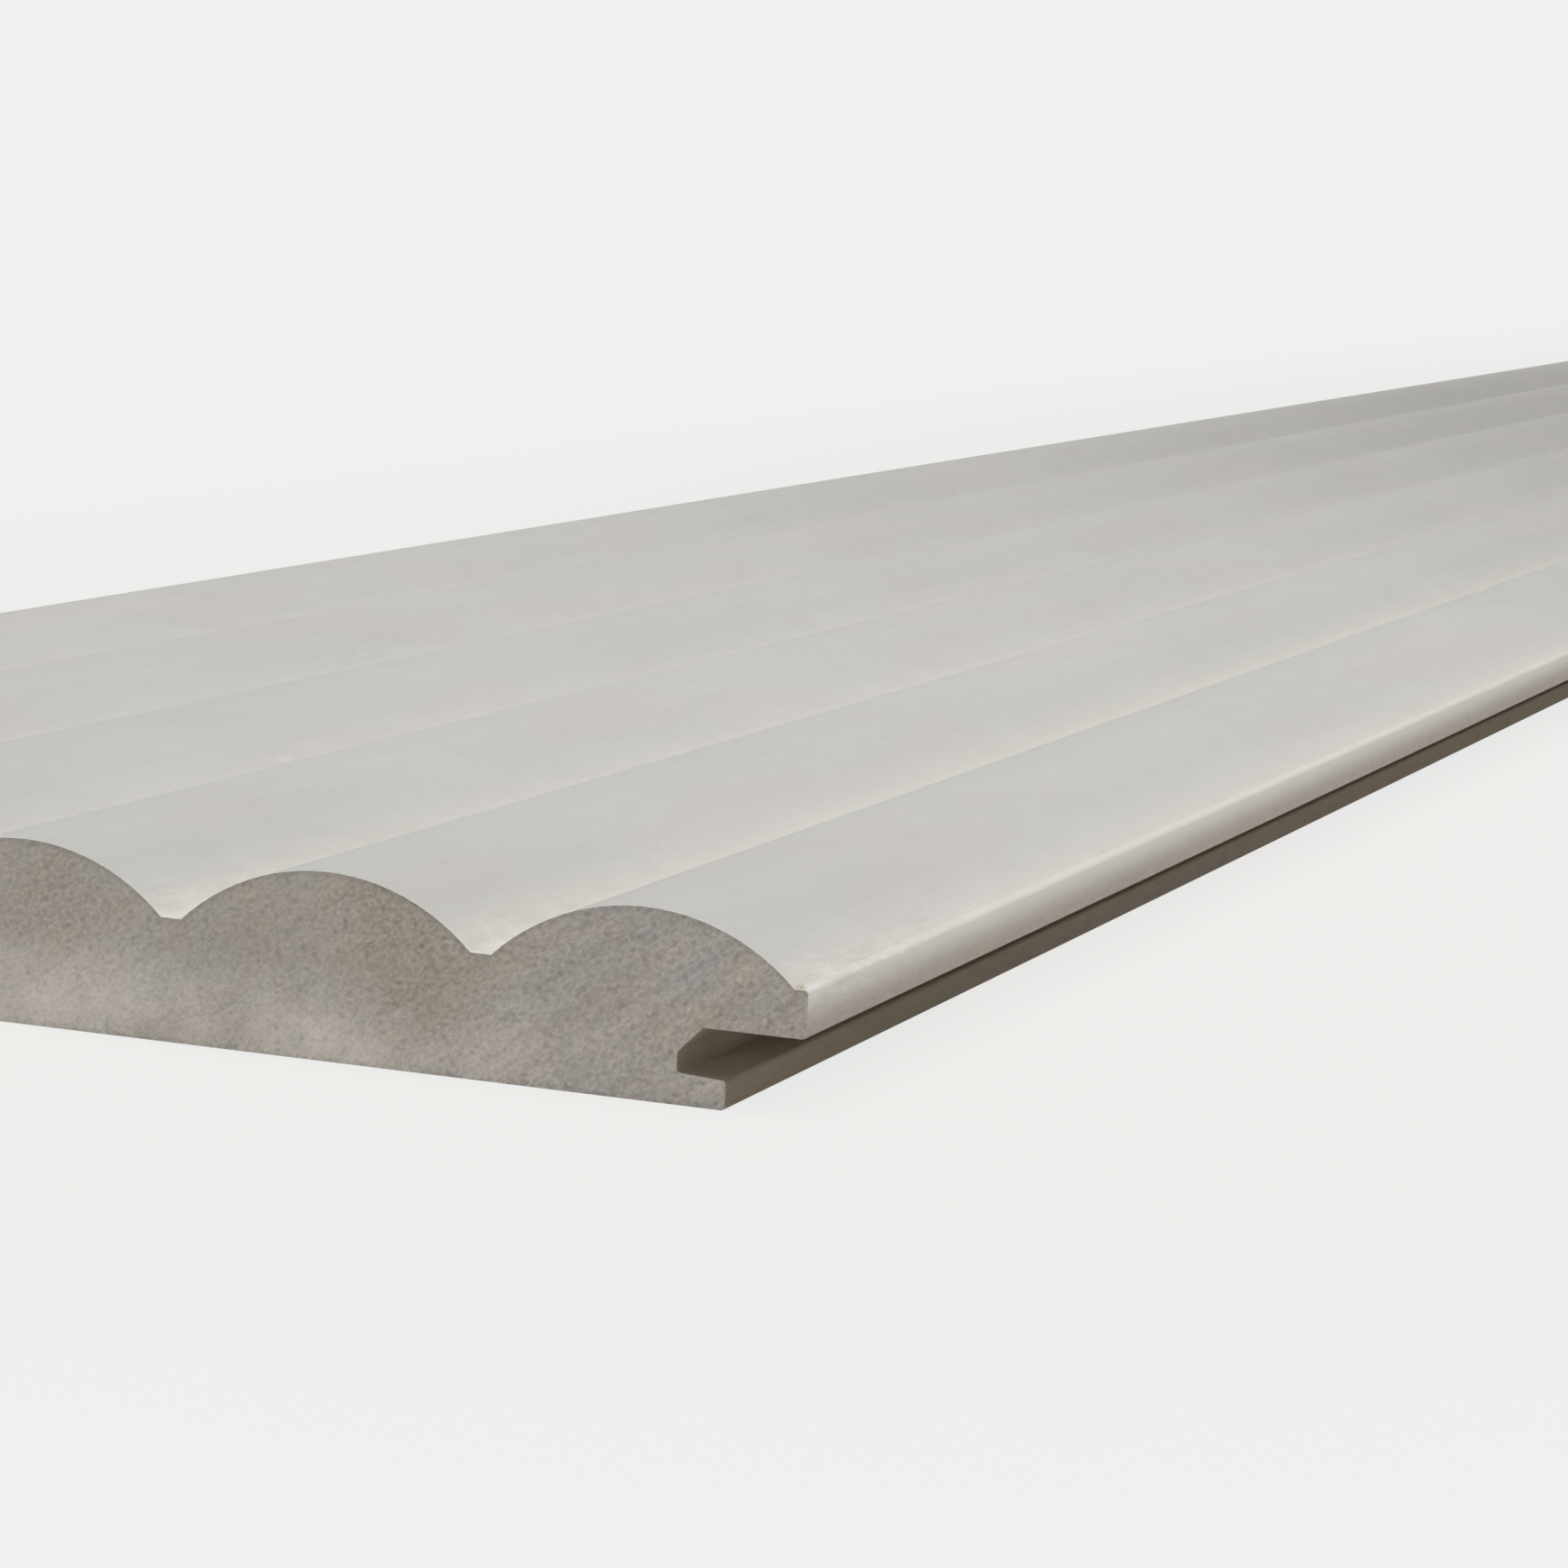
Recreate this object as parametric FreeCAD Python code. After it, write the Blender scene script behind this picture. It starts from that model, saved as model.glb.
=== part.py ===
import FreeCAD, Part
import math
import os

os.makedirs("parts", exist_ok=True)

# Scalloped wall panel: one moulded board of medium-density fibreboard.
# Millimetres. X runs across the flutes with the tongue at -X and the groove at +X, Y runs along
# them, and Z is up from the flat back. The origin is the middle of the box, on the back.

# Face: convex flutes with a narrow flat strip between each two
cover_width = 204.0       # what one laid panel covers, from joint to joint
flute_count = 6
flute_height = 6.4        # crown of a flute above the strips
strip_width = 2.2         # flat strip between two flutes
edge_strip = 1.4          # flat strip beside the outer flutes, along each joint
strip_thickness = 12.6    # board left under the strips
panel_length = 2440.0

# Edge joint: the groove is cut at +X, and the tongue at -X takes its size from it
face_gap = 0.3            # open line on the face between two laid panels
groove_floor = 3.2        # floor above the back of the board, at the root of the groove
groove_height = 4.65      # floor to ceiling
groove_depth = 13.1       # from the upper lip's edge to the root
floor_fall = 0.3          # the lower lip's top falls away this much towards its tip
root_slant_run = 2.5      # the ceiling slants down to the root over this width
root_slant_drop = 2.65
lower_lip_setback = 7.95  # the lower lip's tip stands behind the upper lip's edge
root_round = 0.5

# Clearances of the tongue in the groove of the next panel
top_slip = 0.05           # under the ceiling
bed_slip = 0.15           # over the floor
nose_clear = 0.7          # in front of the nose
lower_gap = 0.6           # between the lower lip's tip and the lower shoulder

# Relief along the tongue's top, where the glue goes
relief_depth = 0.45
relief_width = 2.5
relief_setback = 5.9      # from the upper shoulder

# Eased edges
arris = 0.4
nose_round = 0.6

# Derived sizes
face_width = cover_width - face_gap
flute_width = (face_width - 2 * edge_strip - (flute_count - 1) * strip_width) / flute_count
flute_radius = (flute_width ** 2 / 4 + flute_height ** 2) / (2 * flute_height)
tongue_reach = groove_depth - nose_clear + face_gap
overall_width = face_width + tongue_reach
lip_x = overall_width / 2
shoulder_x = lip_x - face_width
ceiling = groove_floor + groove_height


def rounded_path(corners):
    """Edges along corners (x, z, radius); a radius above 0 turns the corner with a tangent arc."""
    edges = []
    start = FreeCAD.Vector(corners[0][0], 0, corners[0][1])
    for before, here, after in zip(corners, corners[1:], corners[2:]):
        point = FreeCAD.Vector(here[0], 0, here[1])
        back = (FreeCAD.Vector(before[0], 0, before[1]) - point).normalize()
        ahead = (FreeCAD.Vector(after[0], 0, after[1]) - point).normalize()
        radius = here[2]
        if radius > 0:
            half = back.getAngle(ahead) / 2
            reach = radius / math.tan(half)
            middle = (back + ahead).normalize() * (radius / math.sin(half) - radius)
            edges.append(Part.makeLine(start, point + back * reach))
            edges.append(Part.Arc(point + back * reach, point + middle, point + ahead * reach).toShape())
            start = point + ahead * reach
        else:
            edges.append(Part.makeLine(start, point))
            start = point
    edges.append(Part.makeLine(start, FreeCAD.Vector(corners[-1][0], 0, corners[-1][1])))
    return edges


def scalloped_face():
    """Arcs and strips of the face, towards +X; each flute is two arcs that meet on its crown."""
    edges = []
    half_angle = math.asin(flute_width / 2 / flute_radius)
    rays = [FreeCAD.Vector(math.sin(turn), 0, math.cos(turn)) * flute_radius
            for turn in (-half_angle, -half_angle / 2, 0, half_angle / 2, half_angle)]
    for flute in range(flute_count):
        left = shoulder_x + edge_strip + flute * (flute_width + strip_width)
        centre = FreeCAD.Vector(left + flute_width / 2, 0, strip_thickness + flute_height - flute_radius)
        edges.append(Part.Arc(*[centre + ray for ray in rays[:3]]).toShape())
        edges.append(Part.Arc(*[centre + ray for ray in rays[2:]]).toShape())
        if flute < flute_count - 1:
            foot = centre + rays[-1]
            edges.append(Part.makeLine(foot, foot + FreeCAD.Vector(strip_width, 0, 0)))
    return edges


def grooved_edge():
    """Corners of the +X edge, from the last flute's foot round the groove to the back."""
    tip_x = lip_x - lower_lip_setback
    root_x = lip_x - groove_depth
    return [
        (lip_x - edge_strip, strip_thickness, 0),
        (lip_x, strip_thickness, arris),
        (lip_x, ceiling, arris),
        (root_x + root_slant_run, ceiling, 0),
        (root_x, ceiling - root_slant_drop, root_round),
        (root_x, groove_floor, root_round),
        (tip_x, groove_floor - floor_fall, arris),
        (tip_x, 0, arris),
    ]


def tongued_edge():
    """Corners of the -X edge, from the back round the tongue to the first flute's foot."""
    lower_shoulder_x = shoulder_x + face_gap - lower_lip_setback + lower_gap
    nose_x = shoulder_x - tongue_reach
    top = ceiling - top_slip
    under_root = groove_floor - floor_fall + bed_slip
    under_nose = groove_floor + bed_slip
    relief_near = shoulder_x - relief_setback
    relief_far = relief_near - relief_width
    relief_z = top - relief_depth
    return [
        (lower_shoulder_x, 0, arris),
        (lower_shoulder_x, under_root, 0),
        (nose_x, under_nose, nose_round),
        (nose_x, top - root_slant_drop, nose_round),
        (nose_x + root_slant_run - relief_depth, top, arris),
        (relief_far, top, 0),
        (relief_far + relief_width / 3, relief_z, 0),
        (relief_near - relief_width / 3, relief_z, 0),
        (relief_near, top, 0),
        (shoulder_x, top, 0),
        (shoulder_x, strip_thickness, arris),
        (shoulder_x + edge_strip, strip_thickness, 0),
    ]


def fluted_panel():
    """The board: its section drawn as one closed outline and run along the whole length."""
    outline = Part.Wire(Part.__sortEdges__(scalloped_face() + rounded_path(grooved_edge() + tongued_edge())))
    section = Part.Face(outline)
    section.translate(FreeCAD.Vector(0, -panel_length / 2, 0))
    return section.extrude(FreeCAD.Vector(0, panel_length, 0))


fluted_panel().exportStep("parts/fluted_panel.step")
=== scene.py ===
import math

import bpy
from mathutils import Matrix, Vector


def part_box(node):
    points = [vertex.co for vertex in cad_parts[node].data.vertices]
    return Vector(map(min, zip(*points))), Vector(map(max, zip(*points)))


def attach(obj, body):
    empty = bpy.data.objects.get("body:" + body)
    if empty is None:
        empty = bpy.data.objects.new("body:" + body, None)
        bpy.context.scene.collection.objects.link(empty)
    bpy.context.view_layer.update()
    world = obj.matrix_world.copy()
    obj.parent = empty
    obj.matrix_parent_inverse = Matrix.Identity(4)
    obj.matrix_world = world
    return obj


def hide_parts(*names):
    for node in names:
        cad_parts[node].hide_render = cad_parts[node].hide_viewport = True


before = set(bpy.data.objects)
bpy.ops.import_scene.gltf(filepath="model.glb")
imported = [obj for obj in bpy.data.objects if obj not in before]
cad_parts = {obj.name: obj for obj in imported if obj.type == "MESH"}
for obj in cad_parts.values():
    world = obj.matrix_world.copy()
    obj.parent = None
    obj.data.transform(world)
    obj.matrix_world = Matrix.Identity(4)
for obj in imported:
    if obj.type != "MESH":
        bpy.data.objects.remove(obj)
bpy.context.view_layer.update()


# The panel: one plank of medium-density fibreboard. A profiled cutter moulds the flutes, the tongue
# and the groove in one pass along the plank, the moulded side is sprayed with primer and sanded,
# and the ends are sawn square and left raw. Its length, width and thickness come from the frame.
MM = 0.001
low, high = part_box("fluted_panel")
panel_length = high.y - low.y
flute_count = 6
flute_height = 6.4 * MM
strip_width = 2.2 * MM
edge_strip = 1.4 * MM
strip_thickness = high.z - flute_height

# The joint: the groove, the clearances of the tongue in it, the tongue's relief and the eased edges
face_gap = 0.3 * MM
groove_floor = 3.2 * MM
groove_height = 4.65 * MM
groove_depth = 13.1 * MM
floor_fall = 0.3 * MM
root_slant_run = 2.5 * MM
root_slant_drop = 2.65 * MM
lower_lip_setback = 7.95 * MM
lower_gap = 0.6 * MM
top_slip = 0.05 * MM
bed_slip = 0.15 * MM
nose_clear = 0.7 * MM
relief_depth = 0.45 * MM
relief_width = 2.5 * MM
relief_setback = 5.9 * MM
arris = 0.4 * MM
root_round = 0.5 * MM
nose_round = 0.6 * MM

tongue_reach = groove_depth - nose_clear + face_gap
lip_x = high.x
shoulder_x = low.x + tongue_reach
face_width = lip_x - shoulder_x
flute_width = (face_width - 2 * edge_strip - (flute_count - 1) * strip_width) / flute_count
flute_radius = (flute_width ** 2 / 4 + flute_height ** 2) / (2 * flute_height)
pitch = flute_width + strip_width
first_foot_x = shoulder_x + edge_strip
ceiling = groove_floor + groove_height


def linear(hex_colour):
    """An sRGB hex colour as the linear RGBA that a shader socket takes."""
    parts = [int(hex_colour[i:i + 2], 16) / 255 for i in (1, 3, 5)]
    return tuple(p / 12.92 if p <= 0.04045 else ((p + 0.055) / 1.055) ** 2.4 for p in parts) + (1.0,)


def add(tree, kind, sockets=None, **settings):
    """Adds a node with its settings. A socket takes a value or the output of another node, and is
    given by its name or, where that isn't enough, by its number."""
    node = tree.nodes.new(kind)
    for name, value in settings.items():
        setattr(node, name, value)
    for key, value in (sockets or {}).items():
        if isinstance(value, bpy.types.NodeSocket):
            tree.links.new(value, node.inputs[key])
        else:
            node.inputs[key].default_value = value
    return node


def new_material(name):
    """A material and its empty node tree."""
    material = bpy.data.materials.new(name)
    material.use_nodes = True
    material.node_tree.nodes.clear()
    return material, material.node_tree


# Sprayed acrylic primer, sanded: a thin matt grey-white coat with soft streaks, clouds, pits and a
# few nibs along the feed. The strips are painted paler and warmer for the light that bounces between
# the flutes. The coat is rubbed and scratched near the ends, and lies only as a mist on the edges of
# the joint, where the board shows through.
primer, tree = new_material("sprayed_primer")
place = add(tree, "ShaderNodeTexCoord").outputs["Object"]
axes = add(tree, "ShaderNodeSeparateXYZ", {"Vector": place}).outputs

# Where the painted bounce light lies, where the coat is a mist, and where it is rubbed
painted_light_height = 4.6 * MM
mist_reach = 4 * MM
rubbed_length = 80 * MM
# Painted bounce light: paler in the strips, fading out 4.6 mm above them
valley_and_painted_light = add(tree, "ShaderNodeMapRange", {
    "Value": axes["Z"], "From Min": strip_thickness + painted_light_height, "From Max": strip_thickness}).outputs[0]
valley_and_painted_light = add(tree, "ShaderNodeMath", {0: valley_and_painted_light, 1: 1.6}, operation="POWER").outputs[0]
# Painted light falloff: the painted bounce light in the strips is weaker away from the groove side
painted_light_falloff = add(tree, "ShaderNodeMapRange", {
    "Value": axes["X"], "From Min": -40 * MM, "From Max": lip_x - 35 * MM, "To Min": 0.7}).outputs[0]
valley_and_painted_light = add(tree, "ShaderNodeMath", {0: valley_and_painted_light, 1: painted_light_falloff}, operation="MULTIPLY").outputs[0]
misted = add(tree, "ShaderNodeMapRange", {
    "Value": axes["Z"], "From Min": strip_thickness, "From Max": strip_thickness - mist_reach,
    "To Max": 0.9}, interpolation_type="SMOOTHSTEP").outputs[0]
from_middle = add(tree, "ShaderNodeMath", {0: axes["Y"]}, operation="ABSOLUTE").outputs[0]
near_end = add(tree, "ShaderNodeMapRange", {
    "Value": from_middle, "From Min": panel_length / 2 - rubbed_length, "From Max": panel_length / 2},
    interpolation_type="SMOOTHSTEP").outputs[0]
handled = add(tree, "ShaderNodeMath", {0: valley_and_painted_light, 1: near_end}, operation="MULTIPLY").outputs[0]

# Patterns, drawn out 4 times along the feed, and the streaks 20 times
feed = Vector((1.0, 0.25, 1.0))
fed = add(tree, "ShaderNodeMapping", {"Vector": place, "Scale": feed}).outputs[0]
along = add(tree, "ShaderNodeMapping", {"Vector": place, "Scale": (1.0, 0.05, 1.0)}).outputs[0]
cloud = add(tree, "ShaderNodeTexNoise", {
    "Vector": fed, "Scale": 1 / (25 * MM), "Detail": 3.0, "Roughness": 0.55}).outputs[0]
blush = add(tree, "ShaderNodeTexNoise", {
    "Vector": fed, "Scale": 1 / (13 * MM), "Detail": 3.0, "Roughness": 0.5}).outputs[0]
mottle = add(tree, "ShaderNodeTexNoise", {
    "Vector": fed, "Scale": 1 / (3 * MM), "Detail": 3.0, "Roughness": 0.6}).outputs[0]
fibre = add(tree, "ShaderNodeTexNoise", {
    "Vector": fed, "Scale": 1 / (0.5 * MM), "Detail": 2.0, "Roughness": 0.6}).outputs[0]
streak = add(tree, "ShaderNodeTexNoise", {
    "Vector": along, "Scale": 1 / (2.2 * MM), "Detail": 3.0, "Roughness": 0.5}).outputs[0]

# Sanding marks, only in the strips near the ends
brushed = add(tree, "ShaderNodeMapping", {
    "Vector": place, "Rotation": (0, 0, -0.1), "Scale": (1.0, 5.0, 1.0)}, vector_type="TEXTURE").outputs[0]
scratch = add(tree, "ShaderNodeTexNoise", {
    "Vector": brushed, "Scale": 1 / (1.8 * MM), "Detail": 5.0, "Roughness": 0.8}).outputs[0]
scratch = add(tree, "ShaderNodeMapRange", {
    "Value": scratch, "From Min": 0.4, "From Max": 0.66, "To Min": -0.5}).outputs[0]
scratch = add(tree, "ShaderNodeMath", {0: scratch, 1: handled}, operation="MULTIPLY").outputs[0]

# Nibs: small grains here and there, and a larger one low on the third flute from the tongue
large_nib = Vector((3.2, -1118.8, 14.3)) * MM
nib = add(tree, "ShaderNodeTexVoronoi", {
    "Vector": fed, "Scale": 1 / (35 * MM)}, voronoi_dimensions="2D").outputs["Distance"]
nib = add(tree, "ShaderNodeMapRange", {
    "Value": nib, "From Min": 0.014, "From Max": 0.005, "To Max": 0.4},
    interpolation_type="SMOOTHSTEP").outputs[0]
larger = add(tree, "ShaderNodeVectorMath", {
    0: fed, 1: large_nib * feed}, operation="DISTANCE").outputs["Value"]
larger = add(tree, "ShaderNodeMapRange", {
    "Value": larger, "From Min": 0.9 * MM, "From Max": 0.2 * MM, "To Max": 0.7},
    interpolation_type="SMOOTHSTEP").outputs[0]
nib = add(tree, "ShaderNodeMath", {0: nib, 1: larger}, operation="MAXIMUM").outputs[0]

# Tone: clouds and pinker patches, painted bounce light in the strips, and warmer where it is rubbed
cloud = add(tree, "ShaderNodeMapRange", {"Value": cloud, "From Min": 0.35, "From Max": 0.65}).outputs[0]
tone = add(tree, "ShaderNodeMix", {
    0: cloud, 6: linear("#c9c8c4"), 7: linear("#cdccc9")}, data_type="RGBA").outputs[2]
blush = add(tree, "ShaderNodeMapRange", {"Value": blush, "From Min": 0.48, "From Max": 0.64}).outputs[0]
pinker = add(tree, "ShaderNodeVectorMath", {
    0: tone, 1: (1.021, 0.979, 0.994)}, operation="MULTIPLY").outputs[0]
tone = add(tree, "ShaderNodeMix", {0: blush, 6: tone, 7: pinker}, data_type="RGBA").outputs[2]
# Painted bounce light: the strips turn paler and warmer
tone = add(tree, "ShaderNodeMix", {0: valley_and_painted_light, 6: tone, 7: linear("#dedad4")}, data_type="RGBA").outputs[2]
rubbed = add(tree, "ShaderNodeVectorMath", {
    0: tone, 1: (0.97, 0.962, 0.952)}, operation="MULTIPLY").outputs[0]
rubbing = add(tree, "ShaderNodeMath", {0: near_end, 1: handled}, operation="SUBTRACT").outputs[0]
tone = add(tree, "ShaderNodeMix", {0: rubbing, 6: tone, 7: rubbed}, data_type="RGBA").outputs[2]

# Shade: faint streaks and specks, darker pits, paler scratches and nibs
shade = add(tree, "ShaderNodeMapRange", {
    "Value": streak, "From Min": 0.3, "From Max": 0.7, "To Min": 0.992, "To Max": 1.008}).outputs[0]
speck = add(tree, "ShaderNodeMapRange", {
    "Value": mottle, "From Min": 0.3, "From Max": 0.7, "To Min": 0.985, "To Max": 1.015}).outputs[0]
shade = add(tree, "ShaderNodeMath", {0: shade, 1: speck}, operation="MULTIPLY").outputs[0]
pit = add(tree, "ShaderNodeMapRange", {"Value": fibre, "From Min": 0.42, "From Max": 0.3}).outputs[0]
pitted = add(tree, "ShaderNodeMapRange", {
    "Value": mottle, "From Min": 0.58, "From Max": 0.42, "To Min": -0.01, "To Max": -0.06}).outputs[0]
for mark, strength in ((pit, pitted), (scratch, 0.16), (nib, 0.12)):
    shade = add(tree, "ShaderNodeMath", {
        0: mark, 1: strength, 2: shade}, operation="MULTIPLY_ADD").outputs[0]
tone = add(tree, "ShaderNodeVectorMath", {0: tone, "Scale": shade}, operation="SCALE").outputs[0]

# The board shows through the mist
thin = add(tree, "ShaderNodeMapRange", {
    "Value": fibre, "From Min": 0.3, "From Max": 0.7, "To Min": 0.85}).outputs[0]
thin = add(tree, "ShaderNodeMath", {0: misted, 1: thin}, operation="MULTIPLY").outputs[0]
tone = add(tree, "ShaderNodeMix", {0: thin, 6: tone, 7: linear("#998f82")}, data_type="RGBA").outputs[2]

relief = fibre
for mark, strength in ((streak, 0.8), (scratch, 0.8), (nib, 3.0)):
    relief = add(tree, "ShaderNodeMath", {
        0: mark, 1: strength, 2: relief}, operation="MULTIPLY_ADD").outputs[0]
bump = add(tree, "ShaderNodeBump", {"Strength": 0.4, "Distance": 0.06 * MM, "Height": relief}).outputs[0]
coat = add(tree, "ShaderNodeBsdfPrincipled", {
    "Base Color": tone, "Roughness": 0.62, "IOR": 1.46, "Normal": bump}).outputs[0]
add(tree, "ShaderNodeOutputMaterial", {"Surface": coat})


# Sawn fibreboard: grey-brown wood fibre and glue cut across, open and matt, with grains drawn 0.45
# mm coarse so that they can be seen. The saw leaves slanted streaks and a pale dust, and the board
# is darker right under the face, where the cutter burnished it, and browner where damp got in.
sawn, tree = new_material("sawn_fibreboard")
place = add(tree, "ShaderNodeTexCoord").outputs["Object"]
axes = add(tree, "ShaderNodeSeparateXYZ", {"Vector": place}).outputs

# Patterns, some of them drawn out along the slant of the saw's streaks
saw_slant = (0, -0.6, 0)
slight = add(tree, "ShaderNodeMapping", {
    "Vector": place, "Rotation": saw_slant, "Scale": (1.5, 1.0, 1.0)}, vector_type="TEXTURE").outputs[0]
slanted = add(tree, "ShaderNodeMapping", {
    "Vector": place, "Rotation": saw_slant, "Scale": (9.0, 1.0, 1.0)}, vector_type="TEXTURE").outputs[0]
grain = add(tree, "ShaderNodeTexNoise", {
    "Vector": slight, "Scale": 1 / (0.45 * MM), "Detail": 2.0, "Roughness": 0.6}).outputs[0]
hue = add(tree, "ShaderNodeTexNoise", {
    "Vector": slight, "Scale": 1 / (5 * MM), "Detail": 3.0, "Roughness": 0.6}).outputs[0]
streak = add(tree, "ShaderNodeTexNoise", {
    "Vector": slanted, "Scale": 1 / (1.2 * MM), "Detail": 2.0, "Roughness": 0.5}).outputs[0]
cloud = add(tree, "ShaderNodeTexNoise", {
    "Vector": place, "Scale": 1 / (9 * MM), "Detail": 4.0, "Roughness": 0.6}).outputs[0]
pore = add(tree, "ShaderNodeTexVoronoi", {"Vector": place, "Scale": 1 / (1.1 * MM)}).outputs["Distance"]
pore = add(tree, "ShaderNodeMapRange", {
    "Value": pore, "From Min": 0.08, "From Max": 0.4, "To Min": 0.84},
    interpolation_type="SMOOTHSTEP").outputs[0]

hue = add(tree, "ShaderNodeMapRange", {"Value": hue, "From Min": 0.36, "From Max": 0.64}).outputs[0]
tone = add(tree, "ShaderNodeMix", {
    0: hue, 6: linear("#9c958a"), 7: linear("#9b9791")}, data_type="RGBA").outputs[2]
patchy = add(tree, "ShaderNodeMapRange", {
    "Value": cloud, "From Min": 0.35, "From Max": 0.65, "To Min": 0.97, "To Max": 1.04}).outputs[0]
tone = add(tree, "ShaderNodeVectorMath", {0: tone, "Scale": patchy}, operation="SCALE").outputs[0]

# Dust, low down and away from the groove; the value called rough is how much the grains stand out
inward = add(tree, "ShaderNodeMapRange", {
    "Value": axes["X"], "From Min": lip_x - 15 * MM, "From Max": lip_x - 45 * MM, "To Min": 0.15}).outputs[0]
settled = add(tree, "ShaderNodeMapRange", {
    "Value": cloud, "From Min": 0.38, "From Max": 0.6, "To Min": 0.35}).outputs[0]
dusty = add(tree, "ShaderNodeMapRange", {
    "Value": axes["Z"], "From Min": 10 * MM, "From Max": 3 * MM}).outputs[0]
for share in (settled, inward):
    dusty = add(tree, "ShaderNodeMath", {0: dusty, 1: share}, operation="MULTIPLY").outputs[0]
tone = add(tree, "ShaderNodeMix", {0: dusty, 6: tone, 7: linear("#bbb5ac")}, data_type="RGBA").outputs[2]
rough = add(tree, "ShaderNodeMapRange", {"Value": inward, "To Min": 1.3, "To Max": 1.0}).outputs[0]
rough = add(tree, "ShaderNodeMath", {0: dusty, 1: -0.3, 2: rough}, operation="MULTIPLY_ADD").outputs[0]

# Brown stains of damp: the middle of each across and up, its reach and its depth of colour
stains = ((67 * MM, 9.5 * MM, 10 * MM, 0.85),
          (64 * MM, 16.5 * MM, 9 * MM, 0.7),
          (27 * MM, 16 * MM, 9 * MM, 0.5),
          (lip_x - 0.8 * MM, 9.8 * MM, 4.5 * MM, 0.55))
cloudy = add(tree, "ShaderNodeMapRange", {
    "Value": cloud, "From Min": 0.4, "From Max": 0.55, "To Min": 0.1}).outputs[0]
for x, z, reach, depth in stains:
    away = add(tree, "ShaderNodeVectorMath", {
        0: place, 1: (x, -panel_length / 2, z)}, operation="DISTANCE").outputs["Value"]
    stain = add(tree, "ShaderNodeMapRange", {
        "Value": away, "From Min": reach, "From Max": reach / 3, "To Max": depth}).outputs[0]
    stain = add(tree, "ShaderNodeMath", {0: stain, 1: cloudy}, operation="MULTIPLY").outputs[0]
    tone = add(tree, "ShaderNodeMix", {0: stain, 6: tone, 7: linear("#948d80")}, data_type="RGBA").outputs[2]
    rough = add(tree, "ShaderNodeMath", {0: stain, 1: 0.5, 2: rough}, operation="MULTIPLY_ADD").outputs[0]

# The burnished rim follows the face: the height of the arc or strip above each place
from_crown = add(tree, "ShaderNodeMath", {
    0: axes["X"], 1: first_foot_x + flute_width / 2}, operation="SUBTRACT").outputs[0]
from_crown = add(tree, "ShaderNodeMath", {
    0: from_crown, 1: pitch / 2, 2: -pitch / 2}, operation="WRAP").outputs[0]
square = add(tree, "ShaderNodeMath", {0: from_crown, 1: from_crown}, operation="MULTIPLY").outputs[0]
square = add(tree, "ShaderNodeMath", {0: flute_radius ** 2, 1: square}, operation="SUBTRACT").outputs[0]
face = add(tree, "ShaderNodeMath", {0: square}, operation="SQRT").outputs[0]
face = add(tree, "ShaderNodeMath", {
    0: face, 1: strip_thickness + flute_height - flute_radius}, operation="ADD").outputs[0]
face = add(tree, "ShaderNodeMath", {0: face, 1: strip_thickness}, operation="MAXIMUM").outputs[0]
under = add(tree, "ShaderNodeMath", {0: face, 1: axes["Z"]}, operation="SUBTRACT").outputs[0]
rim = add(tree, "ShaderNodeMapRange", {
    "Value": under, "From Min": 0.15 * MM, "From Max": 0.8 * MM, "To Min": 0.84},
    interpolation_type="SMOOTHSTEP").outputs[0]

# The lower edge is dark and ragged, and the saw's streaks are weaker away from the groove
ragged = add(tree, "ShaderNodeMath", {
    0: grain, 1: 2 * MM, 2: axes["Z"]}, operation="MULTIPLY_ADD").outputs[0]
edge = add(tree, "ShaderNodeMapRange", {
    "Value": ragged, "From Min": 1.0 * MM, "From Max": 1.7 * MM, "To Min": 0.84}).outputs[0]
slant = add(tree, "ShaderNodeMapRange", {
    "Value": streak, "From Min": 0.3, "From Max": 0.7, "To Min": -0.1, "To Max": 0.1}).outputs[0]
drag = add(tree, "ShaderNodeMapRange", {"Value": inward, "To Min": 1.0, "To Max": 0.4}).outputs[0]
slant = add(tree, "ShaderNodeMath", {0: slant, 1: drag, 2: 1.0}, operation="MULTIPLY_ADD").outputs[0]

shade = add(tree, "ShaderNodeMapRange", {
    "Value": grain, "From Min": 0.3, "From Max": 0.7, "To Min": 0.84, "To Max": 1.16}).outputs[0]
shade = add(tree, "ShaderNodeMath", {0: shade, 1: pore}, operation="MULTIPLY").outputs[0]
shade = add(tree, "ShaderNodeMath", {0: shade, 1: rough}, operation="POWER").outputs[0]
for factor in (slant, rim, edge):
    shade = add(tree, "ShaderNodeMath", {0: shade, 1: factor}, operation="MULTIPLY").outputs[0]
tone = add(tree, "ShaderNodeVectorMath", {0: tone, "Scale": shade}, operation="SCALE").outputs[0]
relief = add(tree, "ShaderNodeMath", {0: grain, 1: pore}, operation="MULTIPLY").outputs[0]
bump = add(tree, "ShaderNodeBump", {"Strength": 1.0, "Distance": 0.35 * MM, "Height": relief}).outputs[0]
board = add(tree, "ShaderNodeBsdfPrincipled", {
    "Base Color": tone, "Roughness": 0.9, "IOR": 1.45, "Normal": bump}).outputs[0]
add(tree, "ShaderNodeOutputMaterial", {"Surface": board})


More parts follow.
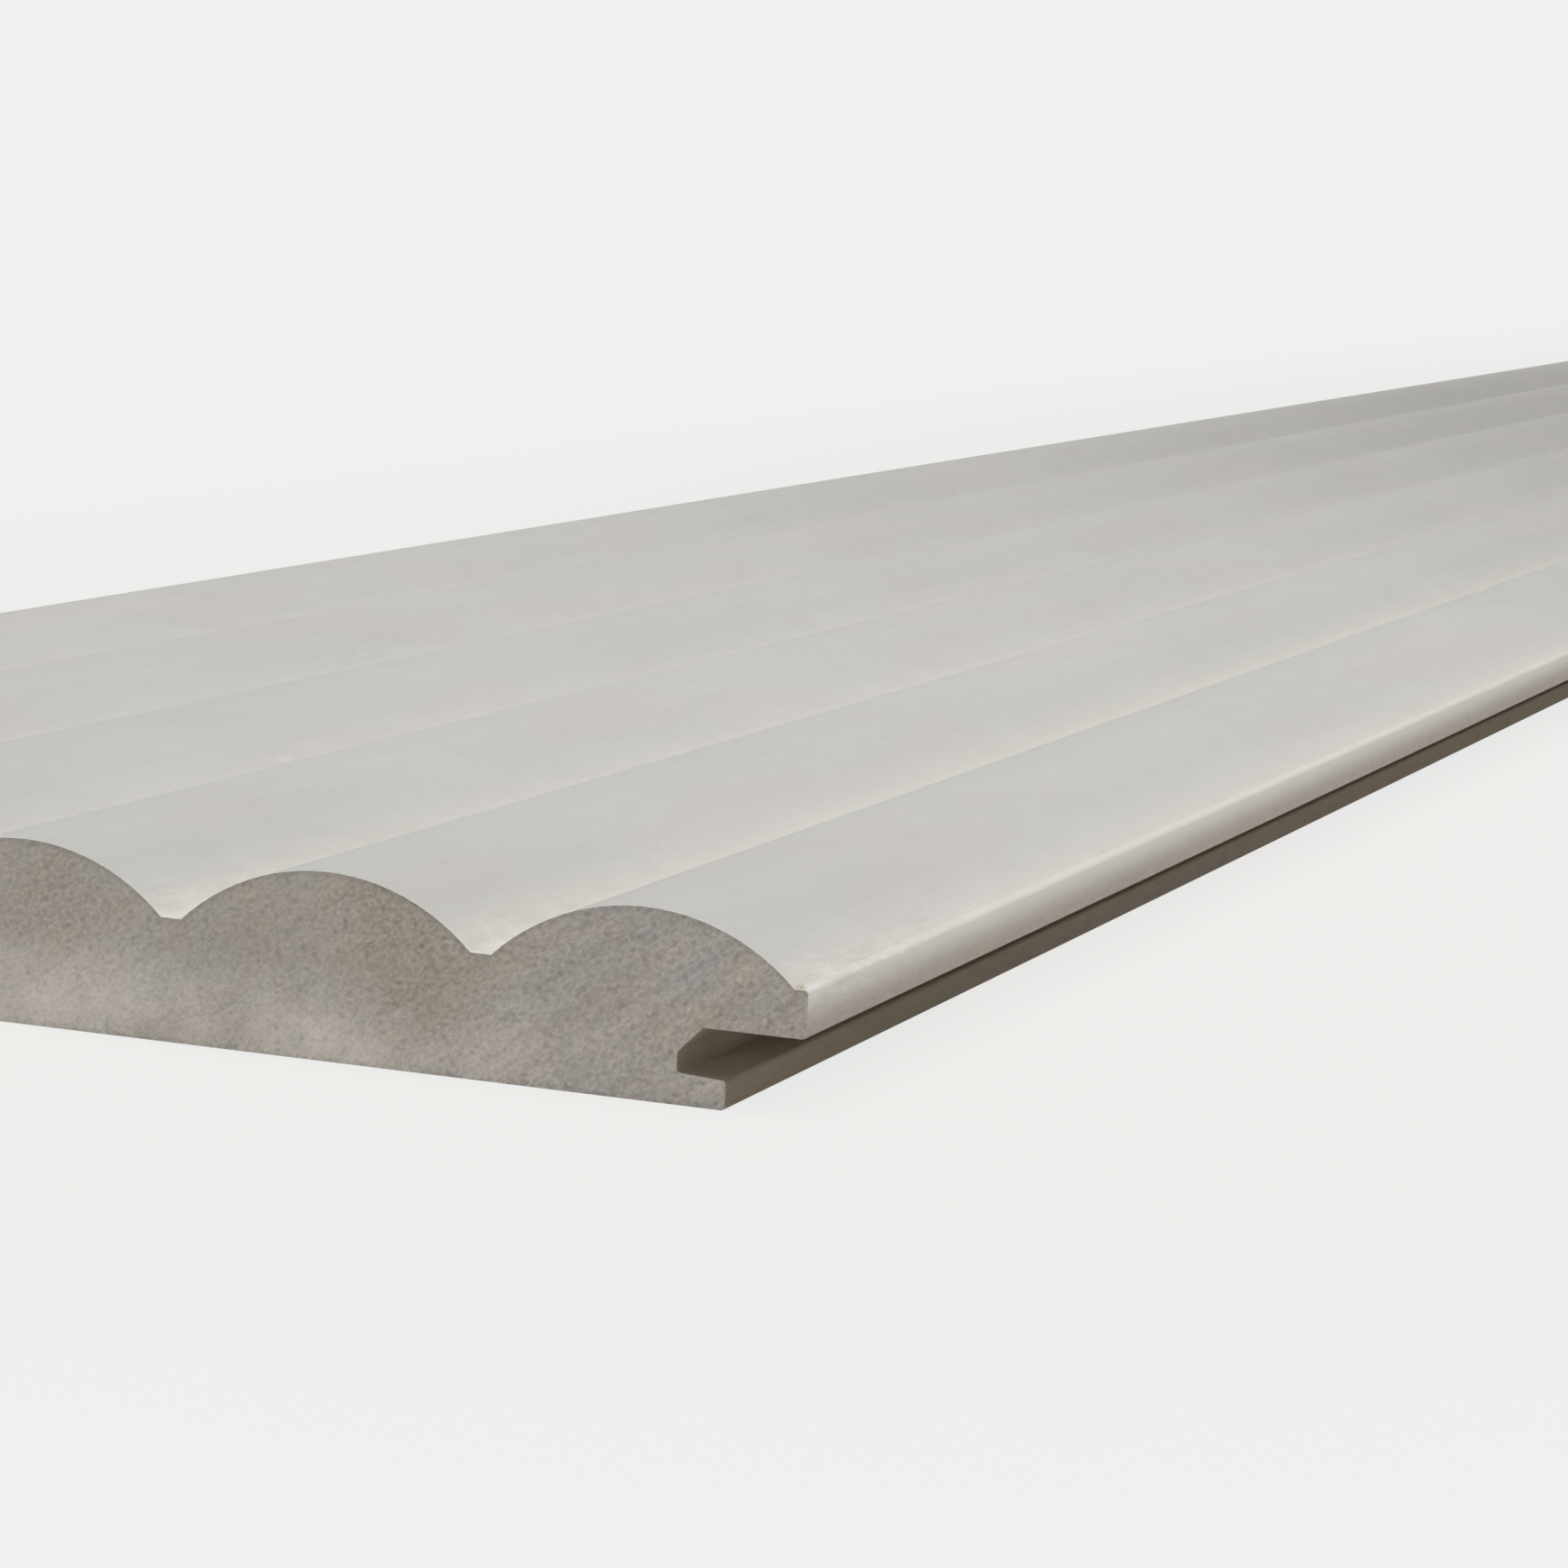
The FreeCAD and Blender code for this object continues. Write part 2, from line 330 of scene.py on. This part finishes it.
# Machined fibreboard: the same board cut along its length by the moulder's knives, and its back as
# it was pressed and sanded; smoother and a little browner than the sawn ends.
machined, tree = new_material("machined_fibreboard")
place = add(tree, "ShaderNodeTexCoord").outputs["Object"]
along = add(tree, "ShaderNodeMapping", {"Vector": place, "Scale": (1.0, 0.12, 1.0)}).outputs[0]
grain = add(tree, "ShaderNodeTexNoise", {
    "Vector": along, "Scale": 1 / (0.6 * MM), "Detail": 4.0, "Roughness": 0.6}).outputs[0]
patch = add(tree, "ShaderNodeTexNoise", {
    "Vector": place, "Scale": 1 / (45 * MM), "Detail": 3.0, "Roughness": 0.5}).outputs[0]
tone = add(tree, "ShaderNodeMix", {
    0: patch, 6: linear("#8e8172"), 7: linear("#9c907f")}, data_type="RGBA").outputs[2]
shade = add(tree, "ShaderNodeMapRange", {
    "Value": grain, "From Min": 0.3, "From Max": 0.7, "To Min": 0.9, "To Max": 1.1}).outputs[0]
tone = add(tree, "ShaderNodeVectorMath", {0: tone, "Scale": shade}, operation="SCALE").outputs[0]
bump = add(tree, "ShaderNodeBump", {"Strength": 0.4, "Distance": 0.08 * MM, "Height": grain}).outputs[0]
board = add(tree, "ShaderNodeBsdfPrincipled", {
    "Base Color": tone, "Roughness": 0.82, "IOR": 1.45, "Normal": bump}).outputs[0]
add(tree, "ShaderNodeOutputMaterial", {"Surface": board})


def eased(corners, steps=5):
    """Points along corners (x, z, radius), each corner with a radius turned as an arc."""
    points = [Vector(corners[0][:2])]
    for before, here, after in zip(corners, corners[1:], corners[2:]):
        corner = Vector(here[:2])
        if here[2] == 0:
            points.append(corner)
            continue
        back = (Vector(before[:2]) - corner).normalized()
        ahead = (Vector(after[:2]) - corner).normalized()
        half = back.angle(ahead) / 2
        centre = corner + (back + ahead).normalized() * here[2] / math.sin(half)
        start = corner + back * here[2] / math.tan(half) - centre
        end = corner + ahead * here[2] / math.tan(half) - centre
        turn = start.angle_signed(end)
        points += [centre + Matrix.Rotation(-turn * i / steps, 2) @ start for i in range(steps + 1)]
    return points + [Vector(corners[-1][:2])]


# The joint, from the last flute's foot round the groove, the back and the tongue to the first foot
root_x = lip_x - groove_depth
lip_tip_x = lip_x - lower_lip_setback
lower_shoulder_x = shoulder_x + face_gap - lower_lip_setback + lower_gap
tongue_top = ceiling - top_slip
nose_x = shoulder_x - tongue_reach
relief_x = shoulder_x - relief_setback
joint_outline = eased([
    (lip_x - edge_strip, strip_thickness, 0),
    (lip_x, strip_thickness, arris),
    (lip_x, ceiling, arris),
    (root_x + root_slant_run, ceiling, 0),
    (root_x, ceiling - root_slant_drop, root_round),
    (root_x, groove_floor, root_round),
    (lip_tip_x, groove_floor - floor_fall, arris),
    (lip_tip_x, 0, arris),
    (lower_shoulder_x, 0, arris),
    (lower_shoulder_x, groove_floor - floor_fall + bed_slip, 0),
    (nose_x, groove_floor + bed_slip, nose_round),
    (nose_x, tongue_top - root_slant_drop, nose_round),
    (nose_x + root_slant_run - relief_depth, tongue_top, arris),
    (relief_x - relief_width, tongue_top, 0),
    (relief_x - relief_width * 2 / 3, tongue_top - relief_depth, 0),
    (relief_x - relief_width / 3, tongue_top - relief_depth, 0),
    (relief_x, tongue_top, 0),
    (shoulder_x, tongue_top, 0),
    (shoulder_x, strip_thickness, arris),
    (first_foot_x, strip_thickness, 0),
])
outline_mesh = bpy.data.meshes.new("joint_outline")
outline_mesh.from_pydata([(p.x, -panel_length / 2, p.y) for p in joint_outline],
                         [(i, i + 1) for i in range(len(joint_outline) - 1)], [])


def new_group(name, output, inputs):
    """A geometry node tree with inputs of the kinds given, and the sockets that they come from."""
    tree = bpy.data.node_groups.new(name, "GeometryNodeTree")
    for socket, kind in inputs.items():
        tree.interface.new_socket(socket, in_out="INPUT", socket_type="NodeSocket" + kind)
    tree.interface.new_socket(output, in_out="OUTPUT", socket_type="NodeSocketGeometry")
    return tree, add(tree, "NodeGroupInput").outputs


def welded(tree, parts):
    """The parts joined, with the points where they meet merged."""
    joined = add(tree, "GeometryNodeJoinGeometry")
    for part in parts:
        tree.links.new(part, joined.inputs[0])
    return add(tree, "GeometryNodeMergeByDistance", {
        "Geometry": joined.outputs[0], "Distance": 0.01 * MM}).outputs[0]


def grown(name, base, group, values):
    """An object with the mesh that a node group makes of a base mesh and its inputs' values."""
    piece = bpy.data.objects.new(name, base)
    bpy.context.scene.collection.objects.link(piece)
    modifier = piece.modifiers.new(group.name, "NODES")
    modifier.node_group = group
    for socket in group.interface.items_tree:
        if socket.name in values:
            modifier[socket.identifier] = values[socket.name]
    mesh = bpy.data.meshes.new_from_object(piece.evaluated_get(bpy.context.evaluated_depsgraph_get()))
    piece.modifiers.clear()
    piece.data = mesh
    mesh.name = name
    return piece


# The moulding: arcs and strips repeated across the face close the outline of the joint, and the
# whole outline is run along the plank and closed by the two sawn ends.
moulding, given = new_group("fluted_moulding", "Panel", {
    "Joint Outline": "Geometry", "Flutes": "Int", "Flute Width": "Float", "Flute Height": "Float",
    "Strip Width": "Float", "First Foot": "Vector", "Length": "Float", "Arc Steps": "Int",
    "Primed Above": "Float", "Primer": "Material", "Sawn": "Material", "Machined": "Material"})
across = add(moulding, "ShaderNodeMath", {0: given["Flute Width"], 1: given["Strip Width"]}).outputs[0]
half = add(moulding, "ShaderNodeMath", {0: given["Flute Width"], 1: 0.5}, operation="MULTIPLY").outputs[0]
crown = add(moulding, "ShaderNodeCombineXYZ", {"X": half, "Z": given["Flute Height"]}).outputs[0]
foot = add(moulding, "ShaderNodeCombineXYZ", {"X": given["Flute Width"]}).outputs[0]
step = add(moulding, "ShaderNodeCombineXYZ", {"X": across}).outputs[0]
arc = add(moulding, "GeometryNodeCurveArc", {
    "Resolution": given["Arc Steps"], "Start": (0, 0, 0), "Middle": crown, "End": foot},
    mode="POINTS").outputs[0]
strip = add(moulding, "GeometryNodeCurvePrimitiveLine", {"Start": foot, "End": step}).outputs[0]
strips = add(moulding, "ShaderNodeMath", {0: given["Flutes"], 1: 1.0}, operation="SUBTRACT").outputs[0]
parts = [given["Joint Outline"]]
for count, shape in ((given["Flutes"], arc), (strips, strip)):
    places = add(moulding, "GeometryNodeMeshLine", {
        "Count": count, "Start Location": given["First Foot"], "Offset": step}, mode="OFFSET").outputs[0]
    copies = add(moulding, "GeometryNodeInstanceOnPoints", {"Points": places, "Instance": shape}).outputs[0]
    copies = add(moulding, "GeometryNodeRealizeInstances", {"Geometry": copies}).outputs[0]
    parts.append(add(moulding, "GeometryNodeCurveToMesh", {"Curve": copies}).outputs[0])
outline = welded(moulding, parts)

# The sides are the outline run along the plank, the ends are the outline filled, and all face out
run = add(moulding, "ShaderNodeCombineXYZ", {"Y": given["Length"]}).outputs[0]
sides = add(moulding, "GeometryNodeExtrudeMesh", {"Mesh": outline, "Offset": run}, mode="EDGES").outputs[0]
sides = add(moulding, "GeometryNodeFlipFaces", {"Mesh": sides}).outputs[0]
loop = add(moulding, "GeometryNodeMeshToCurve", {"Mesh": outline}).outputs[0]
flat = add(moulding, "GeometryNodeTransform", {
    "Geometry": loop, "Rotation": (-math.pi / 2, 0, 0)}).outputs[0]
cap = add(moulding, "GeometryNodeFillCurve", {"Curve": flat}, mode="NGONS").outputs[0]
start = add(moulding, "ShaderNodeMath", {0: given["Length"], 1: -0.5}, operation="MULTIPLY").outputs[0]
start = add(moulding, "ShaderNodeCombineXYZ", {"Y": start}).outputs[0]
near = add(moulding, "GeometryNodeTransform", {
    "Geometry": cap, "Translation": start, "Rotation": (math.pi / 2, 0, 0)}).outputs[0]
far = add(moulding, "GeometryNodeTransform", {"Geometry": near, "Translation": run}).outputs[0]
far = add(moulding, "GeometryNodeFlipFaces", {"Mesh": far}).outputs[0]
whole = welded(moulding, (sides, near, far))
whole = add(moulding, "GeometryNodeRealizeInstances", {"Geometry": whole}).outputs[0]

# The ends are sawn; of the other faces, those above the groove are primed and the rest machined
position = add(moulding, "GeometryNodeInputPosition").outputs[0]
height = add(moulding, "ShaderNodeSeparateXYZ", {"Vector": position}).outputs["Z"]
normal = add(moulding, "GeometryNodeInputNormal").outputs[0]
facing = add(moulding, "ShaderNodeSeparateXYZ", {"Vector": normal}).outputs["Y"]
facing = add(moulding, "ShaderNodeMath", {0: facing}, operation="ABSOLUTE").outputs[0]
primed = add(moulding, "ShaderNodeMath", {
    0: height, 1: given["Primed Above"]}, operation="GREATER_THAN").outputs[0]
ended = add(moulding, "ShaderNodeMath", {0: facing, 1: 0.5}, operation="GREATER_THAN").outputs[0]
for faces, finish in ((True, "Machined"), (primed, "Primer"), (ended, "Sawn")):
    whole = add(moulding, "GeometryNodeSetMaterial", {
        "Geometry": whole, "Selection": faces, "Material": given[finish]}).outputs[0]
add(moulding, "NodeGroupOutput", {"Panel": whole})

panel = grown("moulded_panel", outline_mesh, moulding, {
    "Flutes": flute_count, "Flute Width": flute_width, "Flute Height": flute_height,
    "Strip Width": strip_width, "First Foot": (first_foot_x, -panel_length / 2, strip_thickness),
    "Length": panel_length, "Arc Steps": 25, "Primed Above": ceiling + 0.1 * MM,
    "Primer": primer, "Sawn": sawn, "Machined": machined})
panel.data.shade_smooth()
panel.data.set_sharp_from_angle(angle=math.radians(30))
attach(panel, "root")
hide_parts("fluted_panel")


# The burr: a tuft of torn fibres that the saw left standing on the edge strip at the upper lip's
# corner, 1.3 mm wide and up to 0.8 mm high, pale cream where the primer has soaked into them.
fibre_spacing = 0.045 * MM
fibre_length = 0.8 * MM
fibre_radius = 0.06 * MM
from_lip = 1.7 * MM
from_end = 0.4 * MM
sunk = 0.02 * MM

torn, tree = new_material("torn_fibre")
soaked = add(tree, "ShaderNodeBsdfPrincipled", {
    "Base Color": linear("#d3c8b4"), "Roughness": 0.9}).outputs[0]
add(tree, "ShaderNodeOutputMaterial", {"Surface": soaked})

tuft, given = new_group("torn_fibres", "Tuft", {
    "Fibres": "Int", "First Root": "Vector", "Root Spacing": "Vector", "Scatter": "Vector",
    "Fibre Length": "Float", "Fibre Radius": "Float", "Lean": "Vector", "Torn": "Material"})
roots = add(tuft, "GeometryNodeMeshLine", {
    "Count": given["Fibres"], "Start Location": given["First Root"], "Offset": given["Root Spacing"]},
    mode="OFFSET").outputs[0]
shift = add(tuft, "FunctionNodeRandomValue", {
    1: given["Scatter"], "Seed": 3}, data_type="FLOAT_VECTOR").outputs[0]
roots = add(tuft, "GeometryNodeSetPosition", {"Geometry": roots, "Offset": shift}).outputs[0]
opposite = add(tuft, "ShaderNodeVectorMath", {0: given["Lean"], "Scale": -1.0}, operation="SCALE").outputs[0]
lean = add(tuft, "FunctionNodeRandomValue", {
    0: opposite, 1: given["Lean"], "Seed": 5}, data_type="FLOAT_VECTOR").outputs[0]
size = add(tuft, "FunctionNodeRandomValue", {2: 0.35, 3: 1.0, "Seed": 7}, data_type="FLOAT").outputs[1]
fibre = add(tuft, "GeometryNodeMeshCone", {
    "Vertices": 5, "Radius Top": 0.0, "Radius Bottom": given["Fibre Radius"],
    "Depth": given["Fibre Length"]}).outputs[0]
fibres = add(tuft, "GeometryNodeInstanceOnPoints", {
    "Points": roots, "Instance": fibre, "Rotation": lean, "Scale": size}).outputs[0]
fibres = add(tuft, "GeometryNodeRealizeInstances", {"Geometry": fibres}).outputs[0]
fibres = add(tuft, "GeometryNodeSetMaterial", {"Geometry": fibres, "Material": given["Torn"]}).outputs[0]
add(tuft, "NodeGroupOutput", {"Tuft": fibres})

burr = grown("saw_burr", bpy.data.meshes.new("empty_base"), tuft, {
    "Fibres": 26, "First Root": (lip_x - from_lip, -panel_length / 2 + from_end, strip_thickness - sunk),
    "Root Spacing": (fibre_spacing, 0.0, 0.0), "Scatter": (0.0, 0.5 * MM, 0.0),
    "Fibre Length": fibre_length, "Fibre Radius": fibre_radius, "Lean": (0.45, 0.55, 0.0), "Torn": torn})
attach(burr, "root")


# The stage: a plain pale floor that the panel lies on, running out to a pale backdrop of the same
# tone. Most of its tone is its own, so that it is even; the rest, near the panel, takes its shadow.
# It is open under the panel's back and clear from below, so that the back can be seen too.
def in_picture(tree):
    """A socket that is 1 for the rays that draw the picture and 0 for those that only carry light."""
    ray = add(tree, "ShaderNodeLightPath").outputs
    return add(tree, "ShaderNodeMath", {
        0: ray["Is Camera Ray"], 1: ray["Is Glossy Ray"]}, operation="MAXIMUM").outputs[0]


pale = linear("#f0f0ee")
floor_material, tree = new_material("pale_floor")
place = add(tree, "ShaderNodeTexCoord").outputs["Object"]
beyond = add(tree, "ShaderNodeVectorMath", {0: place}, operation="ABSOLUTE").outputs[0]
beyond = add(tree, "ShaderNodeVectorMath", {
    0: beyond, 1: (lip_x, panel_length / 2, 0)}, operation="SUBTRACT").outputs[0]
beyond = add(tree, "ShaderNodeVectorMath", {0: beyond}, operation="MAXIMUM").outputs[0]
beyond = add(tree, "ShaderNodeVectorMath", {0: beyond}, operation="LENGTH").outputs["Value"]
share = add(tree, "ShaderNodeMapRange", {
    "Value": beyond, "From Min": 10 * MM, "From Max": 200 * MM, "To Min": 0.9},
    interpolation_type="SMOOTHSTEP").outputs[0]
share = add(tree, "ShaderNodeMath", {0: in_picture(tree), 1: share}, operation="MULTIPLY").outputs[0]
lit = add(tree, "ShaderNodeBsdfDiffuse", {"Color": linear("#f0efed")}).outputs[0]
own = add(tree, "ShaderNodeEmission", {"Color": pale, "Strength": 1.0}).outputs[0]
mixed = add(tree, "ShaderNodeMixShader", {0: share, 1: lit, 2: own}).outputs[0]
below = add(tree, "ShaderNodeNewGeometry").outputs["Backfacing"]
clear = add(tree, "ShaderNodeBsdfTransparent").outputs[0]
mixed = add(tree, "ShaderNodeMixShader", {0: below, 1: mixed, 2: clear}).outputs[0]
add(tree, "ShaderNodeOutputMaterial", {"Surface": mixed})

# The floor is four sides round the opening, whose edge lies just under the panel
far_out = 30.0
under_lap = 1 * MM
floor_z = -0.02 * MM
rims = ((-far_out, far_out, far_out),
        (lower_shoulder_x + under_lap, lip_tip_x - under_lap, panel_length / 2 - under_lap))
corners = [(x, y, floor_z) for left, right, end in rims
           for x, y in ((left, -end), (right, -end), (right, end), (left, end))]
floor_mesh = bpy.data.meshes.new("floor")
floor_mesh.from_pydata(corners, [], [(0, 1, 5, 4), (1, 2, 6, 5), (2, 3, 7, 6), (3, 0, 4, 7)])
floor_mesh.materials.append(floor_material)
floor = bpy.data.objects.new("floor", floor_mesh)
bpy.context.scene.collection.objects.link(floor)

# The room gives a weak even light, and in the picture it is the backdrop
world = bpy.data.worlds.new("studio")
bpy.context.scene.world = world
world.use_nodes = True
tree = world.node_tree
tree.nodes.clear()
room = add(tree, "ShaderNodeBackground", {"Color": (0.985, 1.0, 0.985, 1.0), "Strength": 0.24}).outputs[0]
backdrop = add(tree, "ShaderNodeBackground", {"Color": pale, "Strength": 1.0}).outputs[0]
mixed = add(tree, "ShaderNodeMixShader", {0: in_picture(tree), 1: room, 2: backdrop}).outputs[0]
add(tree, "ShaderNodeOutputWorld", {"Surface": mixed})


def soft_light(name, at, aim, size, power, colour, spread=180):
    """A round lamp that the camera doesn't see; its light spreads over an angle in degrees."""
    lamp = bpy.data.lights.new(name, "AREA")
    lamp.shape = "DISK"
    lamp.size = size
    lamp.energy = power
    lamp.color = colour
    lamp.spread = math.radians(spread)
    light = bpy.data.objects.new(name, lamp)
    light.location = at
    light.rotation_euler = (Vector(aim) - Vector(at)).to_track_quat("-Z", "Y").to_euler()
    light.visible_camera = False
    bpy.context.scene.collection.objects.link(light)


# The first four light the sawn end and the near half, as in the photograph. The last three light
# what it doesn't show: the far half, the far end and the back.
soft_light("right", (0.88, -0.8, 1.15), (0, -0.8, 0), 1.0, 3.3, (1.0, 0.965, 0.955))
soft_light("right_near", (0.5, -1.0, 0.7), (0, -1.0, 0), 0.6, 0.9, (1.0, 0.95, 1.0))
soft_light("overhead", (-0.05, -1.1, 1.1), (-0.05, -1.1, 0), 0.8, 4.5, (0.97, 1.0, 0.96))
soft_light("front", (0.3, -3.2, 0.45), (0, -1.2, 0), 1.0, 20.6, (0.975, 0.96, 1.0))
soft_light("far", (0.45, 0.95, 1.3), (0, 0.95, 0), 0.8, 1.3, (1.0, 0.985, 0.97), 75)
soft_light("back", (-0.9, 2.3, 0.8), (0, 1.2, 0), 0.6, 1.6, (1.0, 0.985, 0.97), 50)
soft_light("under", (0, 0, -4.0), (0, 0, 0), 2.0, 100.0, (1.0, 1.0, 1.0))


# The camera stands low at the right front of the sawn end, as the photograph's did. The focal
# length is in pixels of the photograph.
photo_width = 1740
focal_length = 5411.7
stand = Vector((261.04, -1651.96, 96.0)) * MM
heading = math.radians(19.898)
dip = math.radians(7.901)
roll = math.radians(2.817)
lens = bpy.data.cameras.new("camera")
lens.sensor_width = 36.0
lens.lens = lens.sensor_width * focal_length / photo_width
lens.clip_start = 0.01
camera = bpy.data.objects.new("camera", lens)
camera.matrix_world = (Matrix.Translation(stand) @ Matrix.Rotation(heading, 4, "Z")
                       @ Matrix.Rotation(math.pi / 2 - dip, 4, "X") @ Matrix.Rotation(roll, 4, "Z"))
bpy.context.scene.collection.objects.link(camera)
bpy.context.scene.camera = camera
bpy.context.scene.view_settings.view_transform = "Standard"
